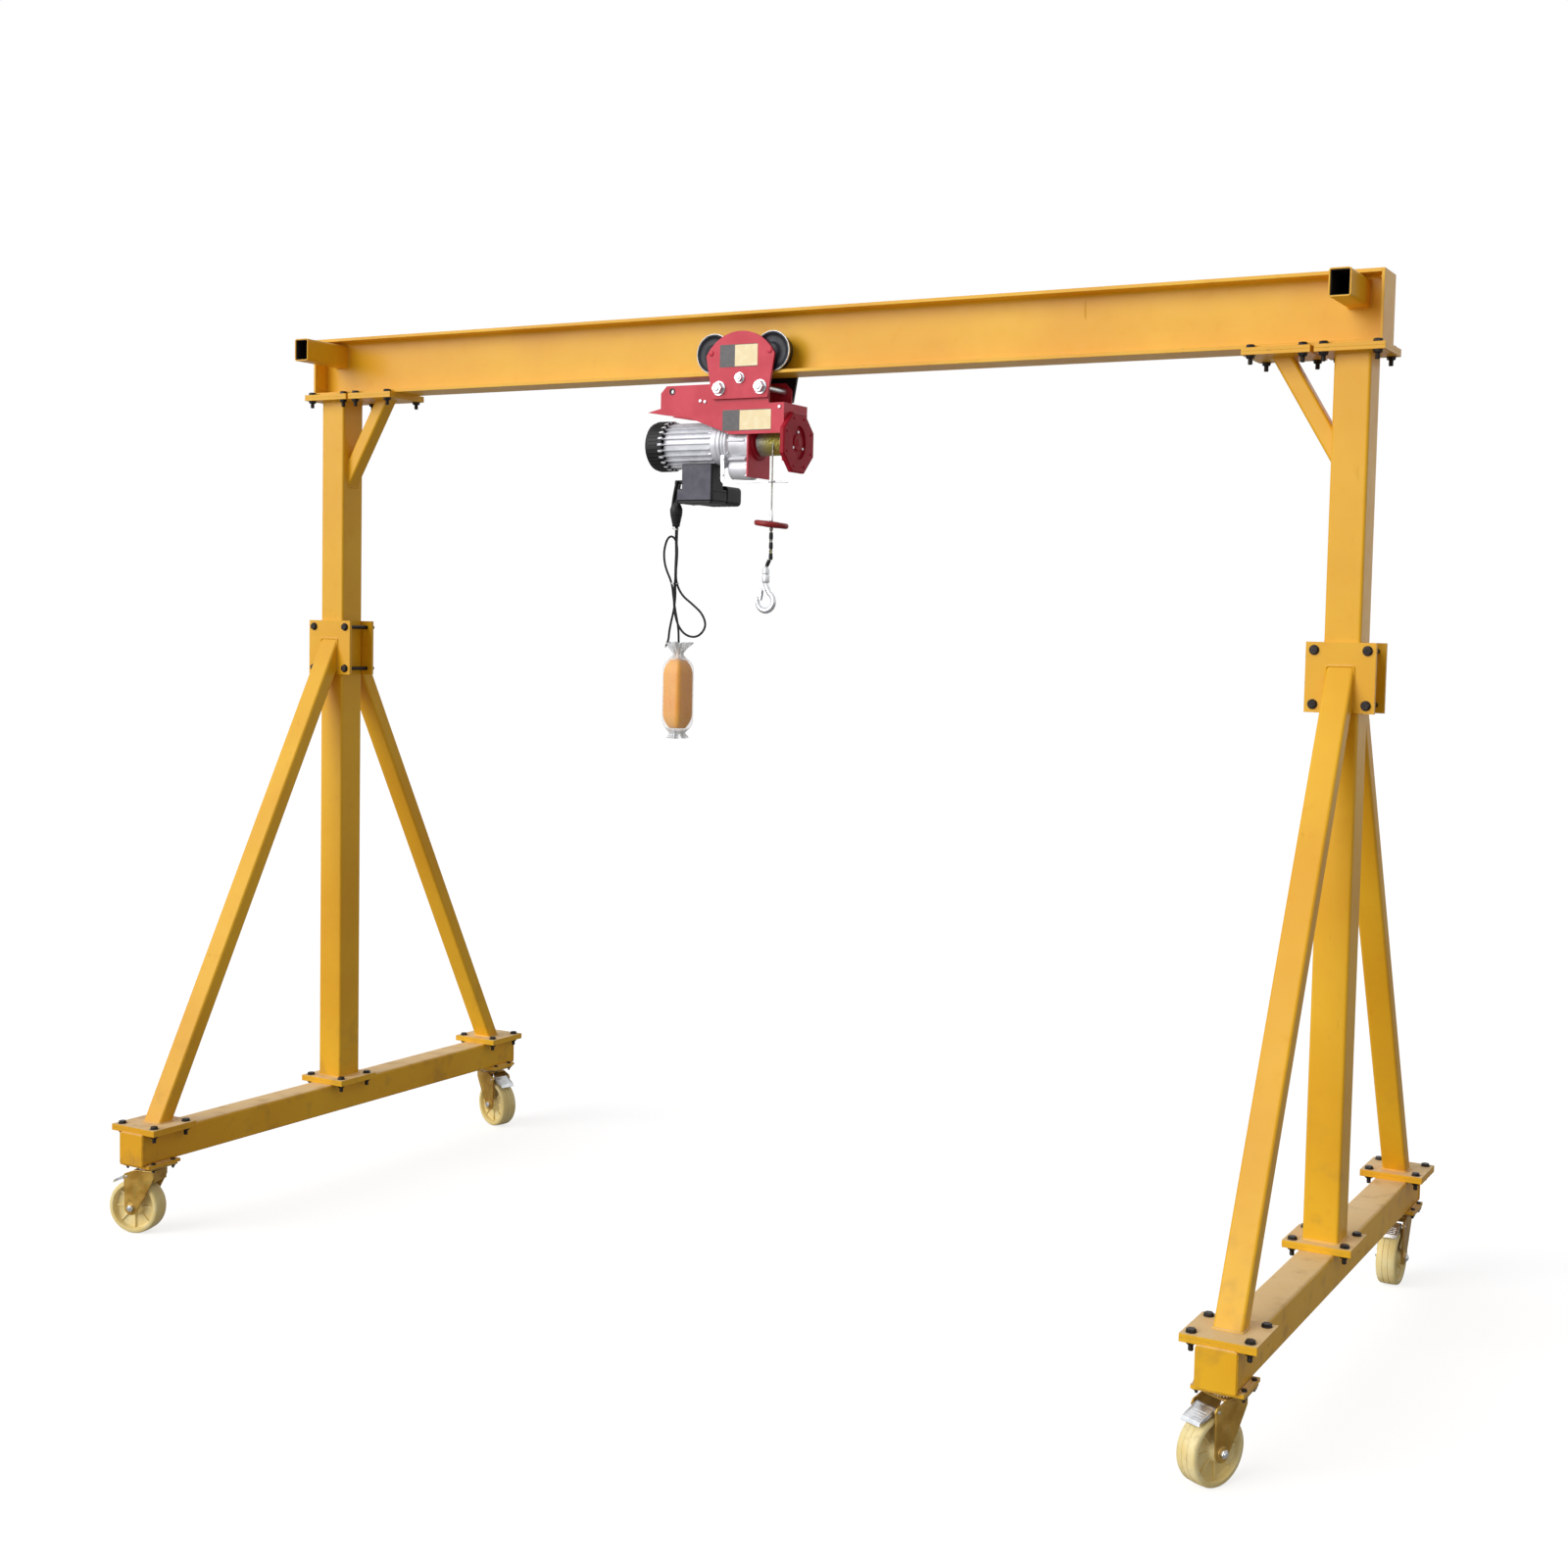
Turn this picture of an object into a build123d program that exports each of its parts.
from build123d import *
import os
from math import cos, pi, radians, sin, sqrt, tan

# Mobile gantry crane: an I-beam on two A-frame ends with swivel casters, and an
# electric wire-rope hoist hanging from a push trolley on the beam.
# Millimetres. X runs along the beam, -Y is the front, +Z is up. The origin is on
# the floor, under the middle of the beam.

# Steel frame
mast_span = 3600.0
beam_underside = 2785.0
beam_height = 195.0
beam_width = 120.0
beam_web = 7.0
beam_flange = 10.0
beam_root = 9.0
beam_overhang = 30.0
beam_end_plate = 8.0
mast_size = 100.0
mast_wall = 5.0
tube_corner = 8.0
base_length = 1880.0
base_size = 100.0
base_wall = 5.0
base_cap = 5.0
brace_width = 75.0
brace_depth = 50.0
brace_wall = 4.0
knee_size = 50.0
knee_wall = 4.0
knee_drop = 250.0
joint_plate = 10.0
joint_plate_x = 190.0
joint_plate_y = 175.0
joint_plate_gap = 10.0
foot_plate_setback = 8.0
brace_foot_shift = 15.0
clamp_height = 190.0
clamp_centre = 1900.0
brace_head_drop = 25.0
bracket_x = 60.0
bracket_z = 75.0
bracket_wall = 4.0
bracket_reach = 200.0

# Casters
caster_height = 230.0
caster_pad = 10.0
caster_pad_size = 130.0
caster_inset = 80.0
caster_top_x = 130.0
caster_top_y = 105.0
caster_top = 6.0
caster_yaws = (-74.0, -25.0, 74.0, 0.0)
race_radius = 34.0
race_height = 10.0
king_pin_radius = 10.0
king_nut_radius = 17.0
king_nut_height = 8.0
crown = 6.0
fork_top_width = 76.0
fork_arm = 5.0
fork_eye_radius = 24.0
wheel_radius = 88.0
wheel_width = 60.0
wheel_trail = 45.0
tyre_depth = 16.0
tyre_crown = 4.0
tyre_groove = 2.5
wheel_web = 30.0
wheel_hub_radius = 26.0
axle_radius = 8.0
axle_nut_radius = 14.0
axle_nut_height = 8.0
brake_pivot_out = 62.0
brake_pivot_z = 190.0
brake_pin_radius = 4.0
brake_barrel_radius = 8.0
brake_width = 60.0
brake_plate = 4.0
brake_reach = 50.0
brake_fall = 20.0
brake_lip = 10.0

# Running clearances
pin_clearance = 0.1
seat_gap = 0.3
side_gap = 5.2
flange_play = 3.0

# Trolley
trolley_x = -95.0
trolley_plate = 8.0
trolley_plate_inner = 74.0
trolley_top = 131.0
trolley_shoulder = 57.0
trolley_shoulder_half = 124.0
trolley_bottom_half = 100.0
trolley_bottom_drop = 76.0
roller_tread = 56.0
roller_rim = 63.0
roller_rim_width = 6.0
roller_half_base = 106.0
roller_inner = 30.0
roller_pin_radius = 10.0
roller_dish = 5.0
rod_half_base = 75.0
rod_drop = 43.0
rod_radius = 10.0
rod_nut_radius = 16.0
rod_nut_height = 13.0
top_rod_drop = 13.0
top_rod_radius = 6.0
top_rod_nut_radius = 11.0

# Hoist
hoist_sheet = 5.0
hoist_half_width = 71.0
hoist_top_gap = 15.0
cheek_top_drop = 27.0
cheek_hump_out = 95.0
hoist_axis_drop = 210.0
cheek_left = 300.0
cheek_tab = 350.0
cheek_right = 155.0
cheek_top_right = 100.0
cheek_corner = 22.0
cheek_hole = 7.0
cheek_hole_out = 257.0
cheek_hole_drop = 45.0
cheek_foot_drop = 185.0
cheek_step_drop = 92.0
cheek_motor_drop = 119.0
end_wall_drop = 270.0
bulkhead_in = 20.0
bulkhead_drop = 316.0
motor_radius = 63.0
fin_radius = 72.0
fin_thickness = 2.6
fin_count = 24
motor_left = 295.0
motor_right = 80.0
motor_collar = 14.0
fan_length = 66.0
fan_radius = 79.0
fan_edge = 16.0
gear_flange = 20.0
gear_flange_radius = 68.0
gear_radius = 60.0
gear_boss_radius = 36.0
gear_boss_drop = 78.0
gear_boss_shift = 15.0
drum_radius = 34.0
drum_flange_radius = 53.0
drum_flange = 6.0
drum_shaft_radius = 12.0
rope_radius = 2.5
rope_out = 97.0
cover_half = 92.0
cover_sides = 8
cover_thickness = 15.0
cover_recess = 7.0
cover_recess_y = 40.0
cover_recess_z = 52.0
cover_edge = 4.0
box_left = 240.0
box_length = 133.0
box_width = 95.0
box_height = 46.0
box_bottom_drop = 186.0
box_top_drop = 54.0
box_shift = 17.5
box_corner = 8.0
box_neck_length = 115.0
box_neck_width = 70.0
capacitor_length = 118.0
capacitor_width = 90.0
capacitor_height = 60.0
capacitor_corner = 14.0
lever_drop = 124.0
lever_size = 6.0
lever_eye = 8.0
lever_eye_wall = 5.0
lever_tail = 42.0
lever_foot = 60.0
strap_out = 70.0
strap_width = 13.0
strap_top_drop = 35.0

# Rope end and hook
disc_drop = 253.0
disc_radius = 54.0
disc_thickness = 22.0
disc_edge = 8.0
twist_radius = 6.0
twist_bend = 12.0
kink_length = 32.0
socket_radius = 11.0
socket_length = 22.0
hook_shift = 16.0
hook_top_drop = 408.0
stud_radius = 5.0
stud_length = 16.0
hook_head = 26.0
hook_head_radius = 12.0
hook_neck = 20.0
hook_outer = 37.0
hook_inner = 21.0
hook_thickness = 15.0
hook_centre_drop = 84.0
hook_tip_radius = 8.0
hook_mouth_start = 100.0
hook_mouth_end = 176.0
latch_pin_radius = 2.5
latch_pin_out = 16.5
latch_pin_rise = 40.0
latch_ear = 5.5
latch_width = 13.0
latch_slot = 7.0
latch_thickness = 3.0
latch_tip_out = 17.0
latch_tip_rise = 2.0
latch_cap = 1.5

# Pendant control
boot_out = 22.0
boot_drop = 72.0
boot_rise = 30.0
boot_taper = 42.0
boot_waist = 14.0
boot_radius = 20.0
boot_mouth_radius = 12.0
boot_neck_radius = 6.5
cable_radius = 3.5
pendant_x = 84.0
pendant_y = 80.0
pendant_z = 232.0
pendant_corner = 16.0
pendant_end = 15.0
pendant_turn = -11.0
pendant_boot_radius = 13.0
pendant_boot = 37.0
pendant_tail = 28.0
pendant_waist = 3.0

cut_overrun = 5.0
inner_corner_share = 0.4
arc_share = 0.45

os.makedirs("parts", exist_ok=True)


def save(part, node):
    part.label = node
    export_step(part, f"parts/{node}.step")


def hollow(width, depth, wall):
    """A rolled tube's section, drawn in the sketch that is open."""
    RectangleRounded(width, depth, tube_corner)
    inner_corner = tube_corner * inner_corner_share
    RectangleRounded(width - 2 * wall, depth - 2 * wall, inner_corner, mode=Mode.SUBTRACT)


def turning_plane(origin, direction, radial):
    """x runs along the axis and y away from it, for a profile that is revolved."""
    return Plane(origin=origin, x_dir=direction, z_dir=direction.cross(radial))


# Heights and places that the sizes above set
mast_x = mast_span / 2
base_underside = caster_height + caster_pad
base_top = base_underside + base_size
pad_top = base_top + joint_plate
foot_top = pad_top + joint_plate
beam_top = beam_underside + beam_height
beam_end = mast_x + mast_size / 2 + beam_overhang
head_plate_z = beam_underside - joint_plate
mast_top = head_plate_z - joint_plate
knee_x = mast_x - joint_plate_x - joint_plate_gap
foot_y = base_length / 2 - foot_plate_setback - joint_plate_y / 2
brace_foot_y = foot_y - brace_foot_shift
clamp_face = mast_size / 2 + joint_plate
brace_head_z = clamp_centre - brace_head_drop
caster_y = base_length / 2 - caster_inset
X_DIR = Vector(1, 0, 0)
Y_DIR = Vector(0, 1, 0)
Z_DIR = Vector(0, 0, 1)

# Beam
with BuildPart() as main_beam:
    with BuildSketch(Plane.YZ.offset(beam_end_plate - beam_end)) as beam_section:
        with Locations((0, beam_underside + beam_height / 2)):
            Rectangle(beam_width, beam_height)
        side_width = (beam_width - beam_web) / 2
        side_centre = (beam_width + beam_web) / 4
        with Locations(
            (side_centre, beam_underside + beam_height / 2),
            (-side_centre, beam_underside + beam_height / 2),
        ):
            Rectangle(side_width, beam_height - 2 * beam_flange, mode=Mode.SUBTRACT)
        roots = [
            corner
            for corner in beam_section.vertices()
            if abs(corner.X) < beam_web and beam_underside < corner.Y < beam_top
        ]
        fillet(roots, beam_root)
    extrude(amount=2 * (beam_end - beam_end_plate))
save(main_beam.part, "main_beam")

with BuildPart() as beam_end_plates:
    with Locations(
        (beam_end - beam_end_plate / 2, 0, beam_underside + beam_height / 2),
        (beam_end_plate / 2 - beam_end, 0, beam_underside + beam_height / 2),
    ):
        Box(beam_end_plate, beam_width, beam_height)
save(beam_end_plates.part, "beam_end_plates")

with BuildPart() as beam_pads:
    with Locations(*[(x, 0, head_plate_z + joint_plate / 2) for x in (-mast_x, -knee_x, knee_x, mast_x)]):
        Box(joint_plate_x, joint_plate_y, joint_plate)
save(beam_pads.part, "beam_pads")

# Open square tubes on the front of the web, for the power cable's support wire
bracket_top = beam_top - beam_flange - beam_root
with BuildPart() as cable_brackets:
    with BuildSketch(Plane.XZ.offset(beam_web / 2)):
        with Locations(*[(x, bracket_top - bracket_z / 2) for x in (-mast_x, mast_x)]):
            hollow(bracket_x, bracket_z, bracket_wall)
    extrude(amount=bracket_reach)
save(cable_brackets.part, "cable_brackets")


# Masts, knee braces and base beams
def make_mast(side, node):
    with BuildPart() as mast:
        with BuildSketch(Plane.XY.offset(foot_top)):
            with Locations((side * mast_x, 0)):
                hollow(mast_size, mast_size, mast_wall)
        extrude(amount=mast_top - foot_top)
    save(mast.part, node)


def make_knee_brace(side, node):
    top = Vector(side * knee_x, 0, mast_top)
    foot = Vector(side * (mast_x - mast_size / 2), 0, mast_top - knee_drop)
    along = (top - foot).normalized()
    with BuildPart() as knee:
        with BuildSketch(Plane(origin=(top + foot) * 0.5, x_dir=Y_DIR, z_dir=along)):
            hollow(knee_size, knee_size, knee_wall)
        extrude(amount=(top - foot).length, both=True)
        split(bisect_by=Plane.XY.offset(mast_top), keep=Keep.BOTTOM)
        face = Plane(origin=foot, x_dir=Y_DIR, z_dir=X_DIR * -side)
        split(bisect_by=face, keep=Keep.TOP)
        with Locations((side * knee_x, 0, mast_top + joint_plate / 2)):
            Box(joint_plate_x, joint_plate_y, joint_plate)
    save(knee.part, node)


def make_base_beam(side, node):
    tube_length = base_length - 2 * base_cap
    with BuildPart() as base_beam:
        with BuildSketch(Plane.XZ.offset(-tube_length / 2)):
            with Locations((side * mast_x, base_underside + base_size / 2)):
                hollow(base_size, base_size, base_wall)
        extrude(amount=tube_length)
    save(base_beam.part, node)


def make_brace(side, end, node):
    """A brace from its foot plate up to the clamp plate on the mast's face."""
    foot = Vector(side * mast_x, end * brace_foot_y, foot_top)
    head = Vector(side * mast_x, end * clamp_face, brace_head_z)
    along = (head - foot).normalized()
    with BuildPart() as brace:
        with BuildSketch(Plane(origin=(foot + head) * 0.5, x_dir=X_DIR, z_dir=along)):
            hollow(brace_width, brace_depth, brace_wall)
        extrude(amount=(head - foot).length, both=True)
        split(bisect_by=Plane.XY.offset(foot_top), keep=Keep.TOP)
        face = Plane(origin=head, x_dir=X_DIR, z_dir=Y_DIR * end)
        split(bisect_by=face, keep=Keep.TOP)
    save(brace.part, node)


for side, side_name in ((-1, "left"), (1, "right")):
    make_mast(side, f"{side_name}_mast")
    make_knee_brace(side, f"{side_name}_knee_brace")
    make_base_beam(side, f"{side_name}_base_beam")
    for end, end_name in ((-1, "front"), (1, "rear")):
        make_brace(side, end, f"{side_name}_{end_name}_brace")

with BuildPart() as mast_flanges:
    with Locations(
        *[
            (x, 0, z + joint_plate / 2)
            for x in (-mast_x, mast_x)
            for z in (pad_top, mast_top)
        ]
    ):
        Box(joint_plate_x, joint_plate_y, joint_plate)
save(mast_flanges.part, "mast_flanges")

with BuildPart() as base_end_caps:
    with Locations(
        *[
            (x, y * (base_length - base_cap) / 2, base_underside + base_size / 2)
            for x in (-mast_x, mast_x)
            for y in (-1, 1)
        ]
    ):
        Box(base_size, base_cap, base_size)
save(base_end_caps.part, "base_end_caps")

with BuildPart() as foot_pads:
    with Locations(
        *[
            (x, y, base_top + joint_plate / 2)
            for x in (-mast_x, mast_x)
            for y in (-foot_y, 0, foot_y)
        ]
    ):
        Box(joint_plate_x, joint_plate_y, joint_plate)
save(foot_pads.part, "foot_pads")

with BuildPart() as brace_feet:
    with Locations(
        *[
            (x, y, pad_top + joint_plate / 2)
            for x in (-mast_x, mast_x)
            for y in (-foot_y, foot_y)
        ]
    ):
        Box(joint_plate_x, joint_plate_y, joint_plate)
save(brace_feet.part, "brace_feet")

with BuildPart() as clamp_plates:
    with Locations(
        *[
            (x, y * (clamp_face - joint_plate / 2), clamp_centre)
            for x in (-mast_x, mast_x)
            for y in (-1, 1)
        ]
    ):
        Box(joint_plate_x, joint_plate, clamp_height)
save(clamp_plates.part, "clamp_plates")

# Casters, bolted under the base beams' welded pads
caster_places = [
    ("left_front", -mast_x, -caster_y),
    ("right_front", mast_x, -caster_y),
    ("left_rear", -mast_x, caster_y),
    ("right_rear", mast_x, caster_y),
]
race_bottom = caster_height - caster_top - race_height
crown_top = race_bottom - seat_gap
crown_bottom = crown_top - crown
with BuildPart() as caster_pads:
    with Locations(*[(x, y, caster_height + caster_pad / 2) for _, x, y in caster_places]):
        Box(caster_pad_size, caster_pad_size, caster_pad)
save(caster_pads.part, "caster_pads")

# The casters' own top plates, with the upper half of the swivel and its king pin
with BuildPart() as caster_plates:
    with Locations(*[(x, y, caster_height - caster_top / 2) for _, x, y in caster_places]):
        Box(caster_top_x, caster_top_y, caster_top)
    with Locations(*[(x, y, race_bottom + race_height / 2) for _, x, y in caster_places]):
        Cylinder(race_radius, race_height)
    pin_bottom = crown_bottom - seat_gap
    with Locations(*[(x, y, (race_bottom + pin_bottom) / 2) for _, x, y in caster_places]):
        Cylinder(king_pin_radius, race_bottom - pin_bottom)
    with Locations(*[(x, y, pin_bottom - king_nut_height / 2) for _, x, y in caster_places]):
        Cylinder(king_nut_radius, king_nut_height)
save(caster_plates.part, "caster_plates")


def make_caster(name, x, y, yaw):
    """Fork, wheel and brake pedal of one caster, parked at its yaw."""
    across = X_DIR.rotate(Axis.Z, yaw)
    trail = Y_DIR.rotate(Axis.Z, yaw) * -1
    seat = Plane(origin=(x, y, 0), x_dir=across, z_dir=Z_DIR)
    side = Plane(origin=(x, y, 0), x_dir=trail, z_dir=across * -1)
    swivel = Vector(x, y, 0)
    hub = swivel + trail * wheel_trail + Z_DIR * wheel_radius
    pivot = swivel + trail * brake_pivot_out + Z_DIR * brake_pivot_z
    arm_inner = wheel_width / 2 + side_gap
    arm_outer = arm_inner + fork_arm
    with BuildPart() as fork:
        with BuildSketch(seat.offset(crown_bottom)):
            Rectangle(2 * arm_outer, fork_top_width)
            Circle(king_pin_radius + pin_clearance, mode=Mode.SUBTRACT)
        extrude(amount=crown)
        with BuildSketch(side.offset(arm_inner), side.offset(-arm_outer)):
            with BuildLine():
                Polyline(
                    (-fork_top_width / 2, crown_top),
                    (fork_top_width / 2, crown_top),
                    (brake_pivot_out + 3 * brake_pin_radius, brake_pivot_z + 2 * brake_pin_radius),
                    (brake_pivot_out + 3 * brake_pin_radius, brake_pivot_z - 2 * brake_pin_radius),
                    (wheel_trail + fork_eye_radius, wheel_radius),
                    (wheel_trail - fork_eye_radius, wheel_radius),
                    (-fork_top_width / 2, crown_bottom - 2 * fork_arm),
                    close=True,
                )
            make_face()
            with Locations((wheel_trail, wheel_radius)):
                Circle(fork_eye_radius)
        extrude(amount=fork_arm)
        with BuildSketch(side.offset(-arm_outer)):
            with Locations((wheel_trail, wheel_radius)):
                Circle(axle_radius)
            with Locations((brake_pivot_out, brake_pivot_z)):
                Circle(brake_pin_radius)
        extrude(amount=2 * arm_outer)
        with BuildSketch(side.offset(arm_outer), side.offset(-arm_outer - axle_nut_height)):
            with Locations((wheel_trail, wheel_radius)):
                RegularPolygon(axle_nut_radius, 6)
        extrude(amount=axle_nut_height)
    save(fork.part, f"{name}_caster_fork")

    half = wheel_width / 2
    hub_half = arm_inner - seat_gap
    web_half = wheel_web / 2
    rim_radius = wheel_radius - tyre_depth
    bore = axle_radius + pin_clearance
    outline = [
        (-hub_half, bore),
        (-hub_half, wheel_hub_radius),
        (-web_half, wheel_hub_radius),
        (-web_half, rim_radius - tyre_crown),
        (-half, rim_radius),
        (-half, wheel_radius - tyre_crown),
        (-half + tyre_crown, wheel_radius),
        (-tyre_groove, wheel_radius),
        (0, wheel_radius - tyre_groove),
        (tyre_groove, wheel_radius),
        (half - tyre_crown, wheel_radius),
        (half, wheel_radius - tyre_crown),
        (half, rim_radius),
        (web_half, rim_radius - tyre_crown),
        (web_half, wheel_hub_radius),
        (hub_half, wheel_hub_radius),
        (hub_half, bore),
    ]
    with BuildPart() as wheel:
        with BuildSketch(turning_plane(hub, across, Z_DIR)):
            with BuildLine():
                Polyline(*outline, close=True)
            make_face()
        revolve(axis=Axis(hub, across))
    save(wheel.part, f"{name}_caster_wheel")

    with BuildPart() as brake:
        with BuildSketch(side.offset(-brake_width / 2)):
            with Locations((brake_pivot_out, brake_pivot_z)):
                Circle(brake_barrel_radius)
            with BuildLine():
                Polyline(
                    (brake_pivot_out, brake_pivot_z + brake_plate),
                    (brake_pivot_out + brake_reach, brake_pivot_z - brake_fall + brake_plate),
                    (brake_pivot_out + brake_reach + brake_lip, brake_pivot_z - brake_fall + brake_plate),
                    (brake_pivot_out + brake_reach + brake_lip, brake_pivot_z - brake_fall),
                    (brake_pivot_out + brake_reach, brake_pivot_z - brake_fall),
                    (brake_pivot_out, brake_pivot_z),
                    close=True,
                )
            make_face()
            with Locations((brake_pivot_out, brake_pivot_z)):
                Circle(brake_pin_radius + pin_clearance, mode=Mode.SUBTRACT)
        extrude(amount=brake_width)
    save(brake.part, f"{name}_caster_brake")


for (name, x, y), yaw in zip(caster_places, caster_yaws):
    make_caster(name, x, y, yaw)

# Trolley
tread_z = beam_underside + beam_flange
roller_z = tread_z + seat_gap + roller_tread
rod_z = beam_underside - rod_drop
top_rod_z = beam_underside - top_rod_drop
roller_pin_end = roller_inner + roller_dish


def make_trolley_plate(end, node):
    face_y = end * trolley_plate_inner
    inner = Plane(origin=(trolley_x, face_y, beam_underside), x_dir=X_DIR * -end, z_dir=Y_DIR * end)
    with BuildPart() as plate:
        with BuildSketch(inner):
            with BuildLine():
                ThreePointArc(
                    (-trolley_shoulder_half, trolley_shoulder),
                    (0, trolley_top),
                    (trolley_shoulder_half, trolley_shoulder),
                )
                Polyline(
                    (trolley_shoulder_half, trolley_shoulder),
                    (trolley_bottom_half, -trolley_bottom_drop),
                    (-trolley_bottom_half, -trolley_bottom_drop),
                    (-trolley_shoulder_half, trolley_shoulder),
                )
            make_face()
            with Locations((-rod_half_base, -rod_drop), (rod_half_base, -rod_drop)):
                Circle(rod_radius + pin_clearance, mode=Mode.SUBTRACT)
            with Locations((0, -top_rod_drop)):
                Circle(top_rod_radius + pin_clearance, mode=Mode.SUBTRACT)
        extrude(amount=trolley_plate)
        with BuildSketch(inner):
            rise = roller_z - beam_underside
            with Locations((-roller_half_base, rise), (roller_half_base, rise)):
                Circle(roller_pin_radius)
        extrude(amount=roller_pin_end - trolley_plate_inner)
    save(plate.part, node)


make_trolley_plate(-1, "trolley_front_plate")
make_trolley_plate(1, "trolley_rear_plate")


def make_roller(side, end, node):
    """A flanged trolley wheel on its pin, with the rim outside the beam's flange."""
    origin = Vector(trolley_x + side * roller_half_base, 0, roller_z)
    direction = Y_DIR * end
    rim_in = beam_width / 2 + flange_play
    rim_out = rim_in + roller_rim_width
    hub_out = trolley_plate_inner - seat_gap
    bore = roller_pin_radius + pin_clearance
    hub_radius = 2 * roller_pin_radius
    outline = [
        (roller_inner, 0),
        (roller_inner, roller_tread),
        (rim_in, roller_tread),
        (rim_in, roller_rim),
        (rim_out, roller_rim),
        (rim_out, roller_tread - roller_dish),
        (rim_out - roller_dish, roller_tread - 2 * roller_dish),
        (rim_out - roller_dish, hub_radius),
        (hub_out, hub_radius),
        (hub_out, bore),
        (roller_pin_end - seat_gap, bore),
        (roller_pin_end - seat_gap, 0),
    ]
    with BuildPart() as roller:
        with BuildSketch(turning_plane(origin, direction, Z_DIR)):
            with BuildLine():
                Polyline(*outline, close=True)
            make_face()
        revolve(axis=Axis(origin, direction))
    save(roller.part, node)


for side, side_name in ((-1, "left"), (1, "right")):
    for end, end_name in ((-1, "front"), (1, "rear")):
        make_roller(side, end, f"trolley_wheel_{side_name}_{end_name}")

plate_outer = trolley_plate_inner + trolley_plate
rod_length = 2 * (plate_outer + rod_nut_height)
with BuildPart() as trolley_rods:
    with BuildSketch(Plane.XZ.offset(-rod_length / 2)):
        with Locations((trolley_x - rod_half_base, rod_z), (trolley_x + rod_half_base, rod_z)):
            Circle(rod_radius)
        with Locations((trolley_x, top_rod_z)):
            Circle(top_rod_radius)
    extrude(amount=rod_length)
    with BuildSketch(Plane.XZ.offset(plate_outer), Plane.XZ.offset(-plate_outer - rod_nut_height)):
        with Locations((trolley_x - rod_half_base, rod_z), (trolley_x + rod_half_base, rod_z)):
            RegularPolygon(rod_nut_radius, 6)
        with Locations((trolley_x, top_rod_z)):
            RegularPolygon(top_rod_nut_radius, 6)
    extrude(amount=rod_nut_height)
    spacer = trolley_plate_inner - hoist_half_width
    with BuildSketch(Plane.XZ.offset(hoist_half_width), Plane.XZ.offset(-trolley_plate_inner)):
        with Locations((trolley_x - rod_half_base, rod_z), (trolley_x + rod_half_base, rod_z)):
            Circle(rod_nut_radius)
        with Locations((trolley_x, top_rod_z)):
            Circle(top_rod_radius)
    extrude(amount=spacer)
save(trolley_rods.part, "trolley_rods")

# Hoist frame: two cheeks, a top sheet, a bulkhead and an end wall
hoist_z = beam_underside - hoist_axis_drop
frame_top = beam_underside - hoist_top_gap
cheek_top = beam_underside - cheek_top_drop
cheek_inner = hoist_half_width - hoist_sheet
bulkhead_x = trolley_x + bulkhead_in
end_wall_x = trolley_x + cheek_right
cheek_foot_left = trolley_x - motor_right + gear_flange + cheek_corner
cheek_slope_left = trolley_x - (cheek_left + motor_right) / 2
with BuildPart() as hoist_frame:
    with BuildSketch(
        Plane.XZ.offset(cheek_inner), Plane.XZ.offset(-hoist_half_width)
    ) as cheeks:
        with BuildLine():
            Polyline(
                (trolley_x - cheek_left, cheek_top - cheek_corner),
                (trolley_x - cheek_left + cheek_corner, cheek_top),
                (trolley_x - cheek_hump_out - cheek_corner, cheek_top),
                (trolley_x - cheek_hump_out, frame_top),
                (trolley_x + cheek_top_right - cheek_corner, frame_top),
                (trolley_x + cheek_top_right, frame_top - cheek_corner),
                (trolley_x + cheek_top_right, beam_underside - cheek_step_drop),
                (end_wall_x, beam_underside - cheek_step_drop),
                (end_wall_x, beam_underside - cheek_foot_drop),
                (cheek_foot_left, beam_underside - cheek_foot_drop),
                (cheek_slope_left, beam_underside - cheek_motor_drop - cheek_corner / 2),
                (trolley_x - cheek_left + cheek_corner, beam_underside - cheek_motor_drop),
                (trolley_x - cheek_tab, beam_underside - cheek_motor_drop + cheek_corner / 2),
                (trolley_x - cheek_left, beam_underside - cheek_motor_drop + cheek_corner),
                close=True,
            )
        make_face()
        with Locations((trolley_x - cheek_hole_out, beam_underside - cheek_hole_drop)):
            Circle(cheek_hole, mode=Mode.SUBTRACT)
        with Locations((trolley_x - rod_half_base, rod_z), (trolley_x + rod_half_base, rod_z)):
            Circle(rod_radius + pin_clearance, mode=Mode.SUBTRACT)
        with Locations((trolley_x, top_rod_z)):
            Rectangle(4 * top_rod_radius, 4 * top_rod_radius, mode=Mode.SUBTRACT)
    extrude(amount=hoist_sheet)
    top_left = trolley_x - cheek_left + cheek_corner
    top_right = trolley_x - 2 * top_rod_nut_radius
    with Locations(((top_left + top_right) / 2, 0, cheek_top - hoist_sheet / 2)):
        Box(top_right - top_left, 2 * cheek_inner, hoist_sheet)
    bulkhead_height = bulkhead_drop - cheek_top_drop
    with Locations((bulkhead_x + hoist_sheet / 2, 0, cheek_top - bulkhead_height / 2)):
        Box(hoist_sheet, 2 * cheek_inner, bulkhead_height)
    wall_top = beam_underside - cheek_step_drop
    wall_height = end_wall_drop - cheek_step_drop
    with Locations((end_wall_x - hoist_sheet / 2, 0, wall_top - wall_height / 2)):
        Box(hoist_sheet, 2 * hoist_half_width, wall_height)
    shaft_axis = Plane.YZ.offset(bulkhead_x - cut_overrun)
    with BuildSketch(shaft_axis):
        with Locations((0, hoist_z)):
            Circle(drum_shaft_radius + pin_clearance)
    extrude(amount=end_wall_x - bulkhead_x + 2 * cut_overrun, mode=Mode.SUBTRACT)
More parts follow.
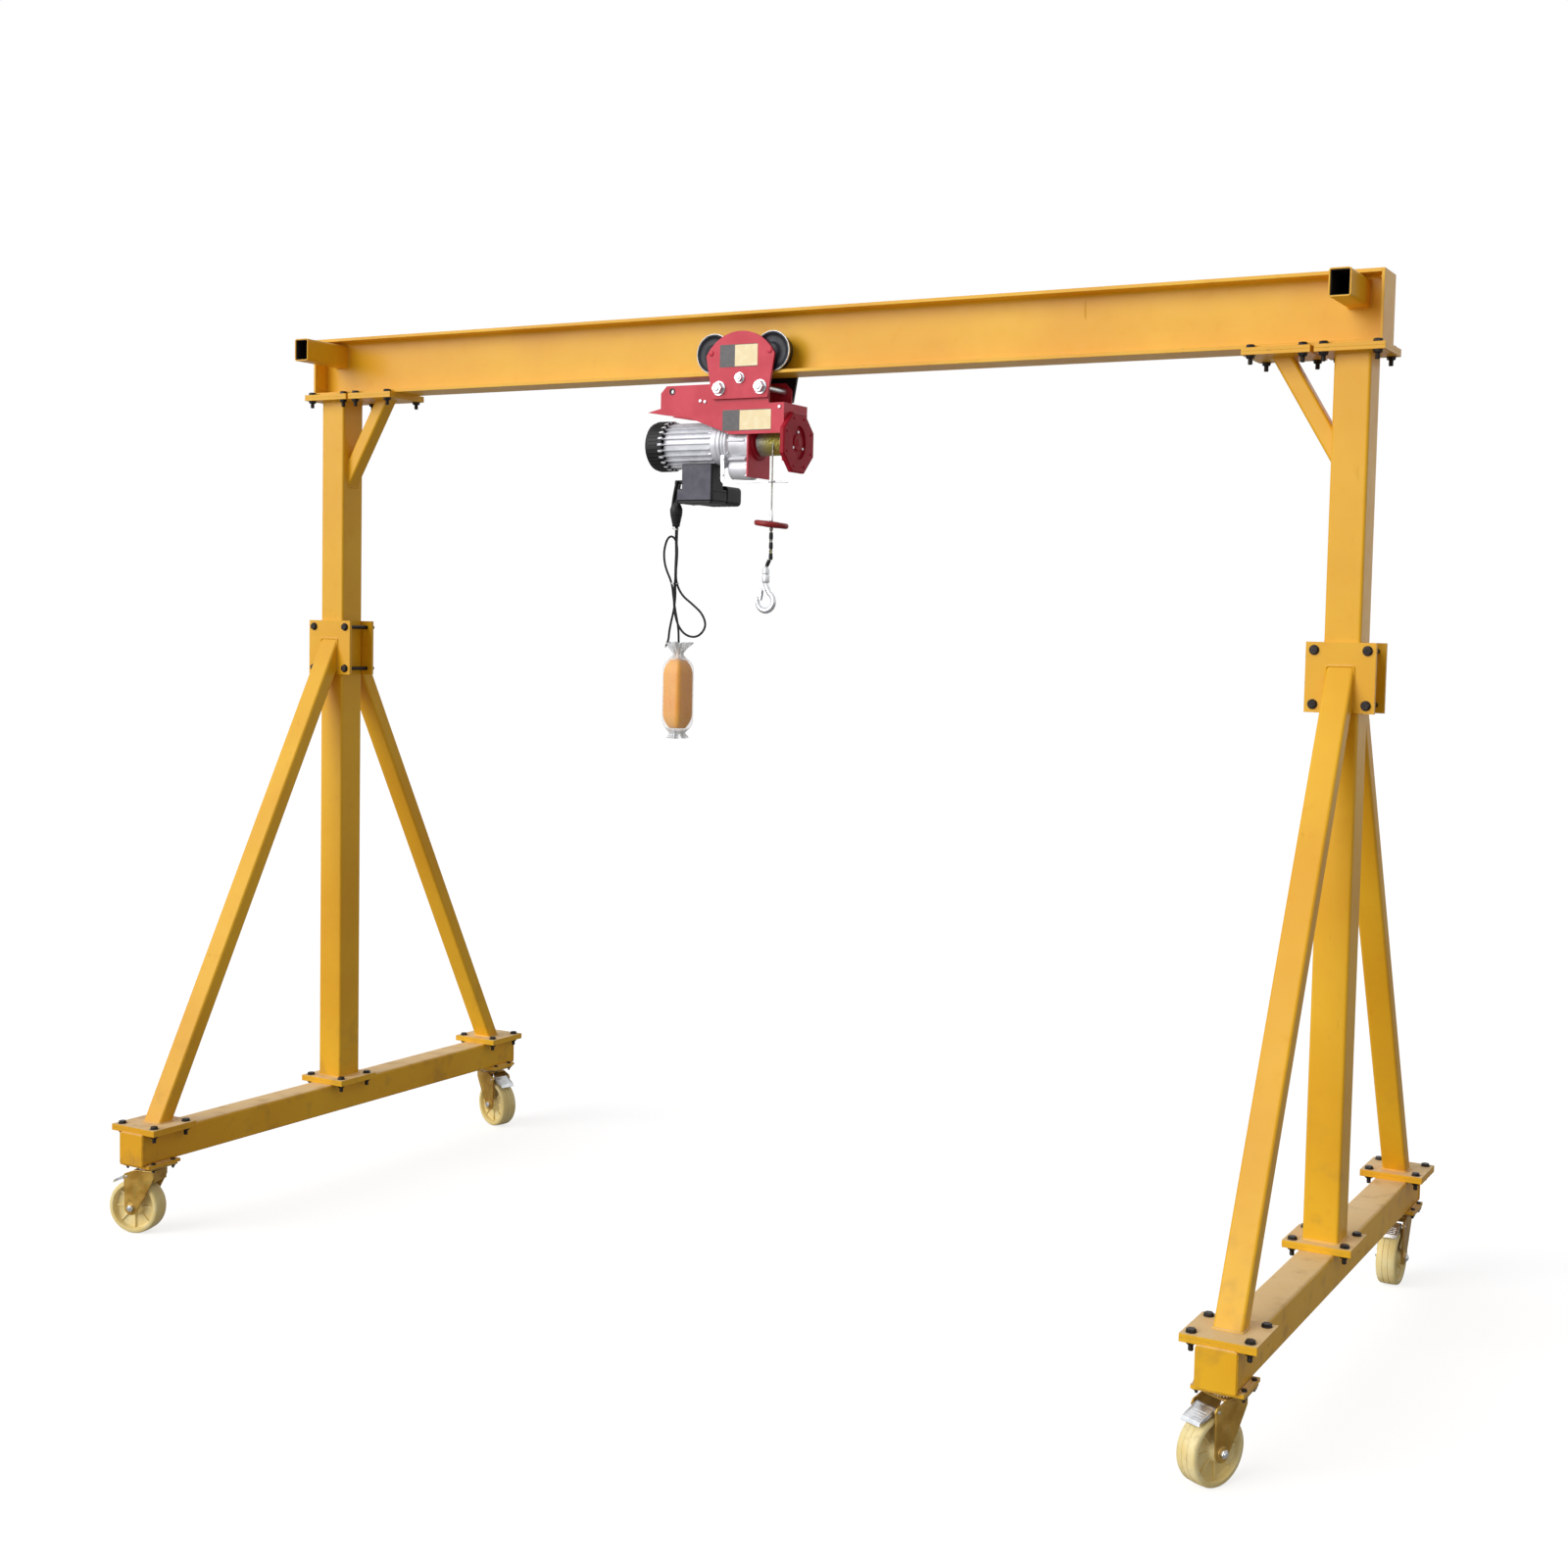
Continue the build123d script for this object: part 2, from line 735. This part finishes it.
save(hoist_frame.part, "hoist_frame")

# Motor, fan cover and gearbox
motor_start = trolley_x - motor_left
motor_end = trolley_x - motor_right
with BuildPart() as hoist_motor:
    with BuildSketch(Plane.YZ.offset(motor_start)):
        with Locations((0, hoist_z)):
            Circle(motor_radius)
            fin_centre = (motor_radius + fin_radius) / 2
            fin_depth = fin_radius - motor_radius + fin_thickness
            with PolarLocations(fin_centre - fin_thickness / 2, fin_count):
                Rectangle(fin_depth, fin_thickness)
    extrude(amount=motor_end - motor_start)
    with BuildSketch(Plane.YZ.offset(motor_end - motor_collar)):
        with Locations((0, hoist_z)):
            Circle(fin_radius)
    extrude(amount=motor_collar)
save(hoist_motor.part, "hoist_motor")

with BuildPart() as motor_fan_cover:
    with BuildSketch(Plane.YZ.offset(motor_start)):
        with Locations((0, hoist_z)):
            Circle(fan_radius)
    extrude(amount=-fan_length)
    fillet(motor_fan_cover.faces().sort_by(Axis.X)[0].edges(), fan_edge)
save(motor_fan_cover.part, "motor_fan_cover")

with BuildPart() as hoist_gearbox:
    with BuildSketch(Plane.YZ.offset(motor_end)):
        with Locations((0, hoist_z)):
            Circle(gear_flange_radius)
    extrude(amount=gear_flange)
    with BuildSketch(Plane.YZ.offset(motor_end + gear_flange)):
        with Locations((0, hoist_z)):
            Circle(gear_radius)
        with Locations((-gear_boss_shift, hoist_z - gear_boss_drop)):
            Circle(gear_boss_radius)
    extrude(amount=bulkhead_x - motor_end - gear_flange)
save(hoist_gearbox.part, "hoist_gearbox")

# Rope drum, wound with rope, on its shaft
drum_left = bulkhead_x + hoist_sheet + seat_gap
drum_right = end_wall_x - hoist_sheet - seat_gap
drum_origin = Vector(0, 0, hoist_z)
drum_outline = [
    (drum_left - hoist_sheet, 0),
    (drum_left - hoist_sheet, drum_shaft_radius),
    (drum_left, drum_shaft_radius),
    (drum_left, drum_flange_radius),
    (drum_left + drum_flange, drum_flange_radius),
    (drum_left + drum_flange, drum_radius),
    (drum_right - drum_flange, drum_radius),
    (drum_right - drum_flange, drum_flange_radius),
    (drum_right, drum_flange_radius),
    (drum_right, drum_shaft_radius),
    (drum_right + hoist_sheet, drum_shaft_radius),
    (drum_right + hoist_sheet, 0),
]
with BuildPart() as rope_drum:
    with BuildSketch(turning_plane(drum_origin, X_DIR, Z_DIR)):
        with BuildLine():
            Polyline(*drum_outline, close=True)
        make_face()
    revolve(axis=Axis(drum_origin, X_DIR))
save(rope_drum.part, "rope_drum")

with BuildPart() as hoist_end_cover:
    with BuildSketch(Plane.YZ.offset(end_wall_x)):
        with Locations((0, hoist_z)):
            RegularPolygon(cover_half, cover_sides, major_radius=False, rotation=180 / cover_sides)
    extrude(amount=cover_thickness)
    chamfer(hoist_end_cover.faces().sort_by(Axis.X)[-1].edges(), cover_edge)
    with BuildSketch(Plane.YZ.offset(end_wall_x + cover_thickness)):
        with Locations((0, hoist_z)):
            Ellipse(cover_recess_y, cover_recess_z)
    extrude(amount=-cover_recess, mode=Mode.SUBTRACT)
save(hoist_end_cover.part, "hoist_end_cover")

# Electric box under the motor: a lidded case with a narrower neck above it
box_front = -box_shift - box_width / 2
box_rear = box_front + box_width
box_right = trolley_x - box_left + box_length
box_centre_x = box_right - box_length / 2
box_bottom = hoist_z - box_bottom_drop
box_shoulder = box_bottom + box_height
box_top = hoist_z - box_top_drop
with BuildPart() as electric_box:
    with BuildSketch(Plane.XY.offset(box_bottom)):
        with Locations((box_centre_x, -box_shift)):
            RectangleRounded(box_length, box_width, box_corner)
    extrude(amount=box_height)
    with BuildSketch(Plane.XY.offset(box_shoulder)):
        with Locations((box_right - box_neck_length / 2, box_front + box_neck_width / 2)):
            RectangleRounded(box_neck_length, box_neck_width, box_corner)
    extrude(amount=box_top - box_shoulder)
    with BuildSketch(Plane.YZ.offset(box_centre_x - box_length)):
        with Locations((0, hoist_z)):
            Circle(fin_radius + seat_gap)
    extrude(amount=2 * box_length, mode=Mode.SUBTRACT)
save(electric_box.part, "electric_box")

# Capacitor housing, against the back of the box
with BuildPart() as capacitor:
    with BuildSketch(Plane.XZ.offset(-box_rear)):
        with Locations((box_right - capacitor_length / 2, box_bottom + capacitor_height / 2)):
            RectangleRounded(capacitor_length, capacitor_height, capacitor_corner)
    extrude(amount=-capacitor_width)
    fillet(capacitor.faces().sort_by(Axis.Y)[-1].edges(), capacitor_corner / 2)
save(capacitor.part, "capacitor")

# Limit lever: a strap on the gearbox's flange, bent to an arm with its eye round the rope
rope_x = trolley_x + rope_out
rope_y = -(drum_radius + seat_gap + rope_radius)
lever_z = hoist_z - lever_drop
lever_ring = lever_eye + lever_eye_wall
strap_x = trolley_x - strap_out
strap_top = hoist_z - strap_top_drop
strap_back = sqrt((gear_flange_radius + seat_gap) ** 2 - strap_top_drop**2)
strap_y = -(strap_back + lever_size / 2)
with BuildPart() as limit_lever:
    with BuildSketch(Plane.XY.offset(lever_z)):
        with BuildLine():
            Polyline(
                (strap_x - strap_width / 2, strap_y),
                (strap_x + lever_foot, strap_y),
                (rope_x - lever_ring + lever_eye_wall / 2, rope_y),
            )
        trace(line_width=lever_size)
        with BuildLine():
            Polyline(
                (rope_x + lever_ring - lever_eye_wall / 2, rope_y),
                (rope_x + lever_ring + lever_tail, rope_y + lever_size),
            )
        trace(line_width=lever_size)
        with Locations((rope_x, rope_y)):
            Circle(lever_ring)
            Circle(lever_eye, mode=Mode.SUBTRACT)
    extrude(amount=lever_size)
    with Locations((strap_x, strap_y, (lever_z + strap_top) / 2)):
        Box(strap_width, lever_size, strap_top - lever_z)
save(limit_lever.part, "limit_lever")

# Rope, limit disc and rope end
rope_top = hoist_z
disc_z = hoist_z - disc_drop
hook_top = hoist_z - hook_top_drop
hook_x = rope_x - hook_shift
rope_plane = Plane(origin=(rope_x, rope_y, 0), z_dir=Z_DIR)
stud_plane = Plane(origin=(hook_x, rope_y, 0), z_dir=Z_DIR)
with BuildPart() as hoist_rope:
    with BuildSketch(rope_plane.offset(rope_top)):
        Circle(rope_radius)
    extrude(amount=disc_z + disc_thickness / 2 - rope_top)
save(hoist_rope.part, "hoist_rope")

disc_origin = Vector(rope_x, rope_y, disc_z)
disc_outline = [
    (-disc_thickness / 2, 0),
    (-disc_thickness / 2, disc_radius / 2),
    (-disc_edge / 2, disc_radius),
    (disc_edge / 2, disc_radius),
    (disc_thickness / 2, disc_radius / 2),
    (disc_thickness / 2, 0),
]
with BuildPart() as limit_disc:
    with BuildSketch(turning_plane(disc_origin, Z_DIR, X_DIR)):
        with BuildLine():
            Polyline(*disc_outline, close=True)
        make_face()
    revolve(axis=Axis(disc_origin, Z_DIR))
save(limit_disc.part, "limit_disc")

# The twisted rope end, kinked to one side above the hook's socket
socket_top = hook_top + socket_length
with BuildPart() as rope_socket:
    with BuildLine() as twist_line:
        FilletPolyline(
            (rope_x, rope_y, disc_z - disc_thickness / 2),
            (rope_x, rope_y, socket_top + kink_length),
            (hook_x, rope_y, socket_top),
            (hook_x, rope_y, hook_top + seat_gap),
            radius=twist_bend,
        )
    with BuildSketch(rope_plane.offset(disc_z - disc_thickness / 2)):
        Circle(twist_radius)
    sweep(path=twist_line.line)
    with BuildSketch(stud_plane.offset(hook_top + seat_gap)):
        Circle(socket_radius)
    extrude(amount=socket_length)
    with BuildSketch(stud_plane.offset(hook_top - stud_length)):
        Circle(stud_radius)
    extrude(amount=stud_length + seat_gap)
save(rope_socket.part, "rope_socket")

# Hook and its sprung latch
hook_centre = hook_top - hook_centre_drop
hook_plane = Plane(origin=(hook_x, rope_y, hook_centre), x_dir=X_DIR, z_dir=Y_DIR * -1)
mouth_reach = 2 * hook_outer
mouth_angles = (hook_mouth_start, (hook_mouth_start + hook_mouth_end) / 2, hook_mouth_end)
tip_ring = (hook_outer + hook_inner) / 2
with BuildPart() as hook:
    with BuildSketch(hook_plane.offset(-hook_thickness / 2)):
        Circle(hook_outer)
        Circle(hook_inner, mode=Mode.SUBTRACT)
        with BuildLine():
            Polyline(
                (0, 0),
                *[(mouth_reach * cos(radians(a)), mouth_reach * sin(radians(a))) for a in mouth_angles],
                close=True,
            )
        make_face(mode=Mode.SUBTRACT)
        tip_angle = radians(hook_mouth_end)
        with Locations((tip_ring * cos(tip_angle), tip_ring * sin(tip_angle))):
            Circle(hook_tip_radius)
        neck_foot = (hook_inner + hook_outer) / 2
        neck_top = hook_centre_drop - hook_head
        with Locations((0, (neck_foot + neck_top) / 2)):
            Rectangle(hook_neck, neck_top - neck_foot)
    extrude(amount=hook_thickness)
    with BuildSketch(hook_plane.offset(-latch_slot / 2 + seat_gap)):
        with BuildLine():
            Polyline(
                (0, latch_pin_rise - latch_ear),
                (-latch_pin_out, latch_pin_rise - latch_ear),
                (-latch_pin_out, latch_pin_rise + latch_ear),
                (0, latch_pin_rise + latch_ear),
                close=True,
            )
        make_face()
    extrude(amount=latch_slot - 2 * seat_gap)
    with BuildSketch(hook_plane.offset(-latch_width / 2 - latch_cap)):
        with Locations((-latch_pin_out, latch_pin_rise)):
            Circle(latch_pin_radius)
    extrude(amount=latch_width + 2 * latch_cap)
    with BuildSketch(stud_plane.offset(hook_top - hook_head)):
        Circle(hook_head_radius)
    extrude(amount=hook_head)
    with BuildSketch(stud_plane.offset(hook_top - stud_length - seat_gap)):
        Circle(stud_radius + pin_clearance)
    extrude(amount=stud_length + 2 * seat_gap, mode=Mode.SUBTRACT)
save(hook.part, "hook")

with BuildPart() as hook_latch:
    with BuildSketch(hook_plane.offset(-latch_width / 2)):
        with Locations((-latch_pin_out, latch_pin_rise)):
            Circle(latch_ear)
        with BuildLine():
            Polyline(
                (-latch_pin_out - latch_ear, latch_pin_rise),
                (-latch_tip_out - latch_thickness, latch_tip_rise),
                (-latch_tip_out, latch_tip_rise),
                (-latch_pin_out - latch_ear + latch_thickness, latch_pin_rise),
                close=True,
            )
        make_face()
        with Locations((-latch_pin_out, latch_pin_rise)):
            Circle(latch_pin_radius + pin_clearance, mode=Mode.SUBTRACT)
    extrude(amount=latch_width)
    slot_half = latch_ear + latch_thickness
    with BuildSketch(hook_plane.offset(-latch_slot / 2)):
        with Locations((-latch_pin_out + seat_gap, latch_pin_rise)):
            Rectangle(2 * slot_half, 2 * slot_half)
    extrude(amount=latch_slot, mode=Mode.SUBTRACT)
save(hook_latch.part, "hook_latch")

# Cable boot on the box's left side: a short elbow, then a taper down to its mouth
boot_x = box_right - box_length - boot_out
boot_y = box_front + box_neck_width / 2
boot_top = box_shoulder + boot_rise
boot_mouth = box_bottom - boot_drop
boot_origin = Vector(boot_x, boot_y, 0)
boot_outline = [
    (boot_mouth, 0),
    (boot_mouth, boot_mouth_radius),
    (boot_mouth + boot_taper, boot_radius),
    (boot_mouth + boot_taper + boot_waist, boot_radius),
    (boot_mouth + 2 * boot_taper, boot_neck_radius),
    (boot_top, boot_neck_radius),
    (boot_top, 0),
]
with BuildPart() as cable_gland:
    with BuildSketch(turning_plane(boot_origin, Z_DIR, X_DIR)):
        with BuildLine():
            Polyline(*boot_outline, close=True)
        make_face()
    revolve(axis=Axis(boot_origin, Z_DIR))
    with BuildSketch(Plane.YZ.offset(boot_x)):
        with Locations((boot_y, boot_top - boot_neck_radius)):
            Circle(boot_neck_radius)
    extrude(amount=box_right - box_neck_length - boot_x)
save(cable_gland.part, "cable_gland")

# The pendant cable's route from the boot's mouth: down, round the loose loop on
# the right, back up, over a fold on the left and down to the pendant.
route_start = Vector(boot_x, boot_y, boot_mouth)
cable_steps = [
    (0, 0, 0),
    (0, 0, -34),
    (3, -2, -80),
    (5, -3, -128),
    (4, -2, -176),
    (26, 0, -218),
    (66, 3, -246),
    (105, 4, -277),
    (121, 1, -318),
    (92, -6, -352),
    (50, -12, -346),
    (23, -16, -314),
    (10, -17, -270),
    (5, -14, -224),
    (7, -12, -176),
    (13, -14, -128),
    (17, -15, -82),
    (16, -16, -48),
    (1, -17, -32),
    (-20, -18, -33),
    (-35, -19, -49),
    (-39, -18, -86),
    (-27, -15, -132),
    (-5, -11, -178),
    (1, -10, -226),
    (9, -9, -270),
    (18, -7, -312),
    (21, -6, -346),
    (21, -6, -380),
]
# The supply lead hangs behind it, down to its cut end beside the pendant
lead_steps = [
    (-1, 8, 0),
    (-1, 8, -36),
    (-4, 8.5, -82),
    (-6, 9, -130),
    (-5, 8, -178),
    (-3, 7.5, -226),
    (-8, 6, -268),
    (-17, 5, -304),
    (-23, 4, -336),
    (-24, 3, -362),
    (-32, 2, -380),
]


def bend_radii(points):
    """Each arc is as large as its two runs allow."""
    radii = []
    for before, corner, after in zip(points, points[1:], points[2:]):
        turn = (corner - before).get_angle(after - corner)
        shorter = min((corner - before).length, (after - corner).length)
        radii.append(arc_share * shorter / tan(radians(turn) / 2))
    return radii


def make_cord(steps, node):
    """A round cord along its route, whose far end this gives back."""
    route = [route_start + Vector(*step) for step in steps]
    radii = bend_radii(route)
    with BuildPart() as cord:
        with BuildLine() as run:
            FilletPolyline(*route, radius=radii)
        with BuildSketch(Plane(origin=run.line @ 0, z_dir=run.line % 0)):
            Circle(cable_radius)
        sweep()
    length = run.line.wires()[0].length
    tube_volume = pi * cable_radius**2 * length
    print(node, "bend radii", [round(radius) for radius in radii])
    print(node, "length", round(length))
    print(node, "volume over section times length", round(cord.part.volume / tube_volume, 4))
    save(cord.part, node)
    return route[-1]


make_cord(lead_steps, "supply_lead")
pendant_top = make_cord(cable_steps, "pendant_cable")
pendant_body_top = pendant_top.Z - pendant_boot
pendant_body_bottom = pendant_body_top - pendant_z
pendant_across = X_DIR.rotate(Axis.Z, pendant_turn)
pendant_plane = Plane(origin=(pendant_top.X, pendant_top.Y, 0), x_dir=pendant_across, z_dir=Z_DIR)
with BuildPart() as pendant:
    with BuildSketch(pendant_plane.offset(pendant_body_bottom)):
        RectangleRounded(pendant_x, pendant_y, pendant_corner)
    extrude(amount=pendant_z)
    fillet(pendant.faces().sort_by(Axis.Z)[-1].edges(), pendant_end)
    fillet(pendant.faces().sort_by(Axis.Z)[0].edges(), pendant_end)
    with BuildSketch(pendant_plane.offset(pendant_body_top - pendant_waist)):
        Circle(pendant_boot_radius)
    extrude(amount=pendant_boot + pendant_waist)
    with BuildSketch(pendant_plane.offset(pendant_body_bottom + pendant_waist)):
        Circle(pendant_boot_radius)
    extrude(amount=-pendant_tail - pendant_waist)
save(pendant.part, "pendant")
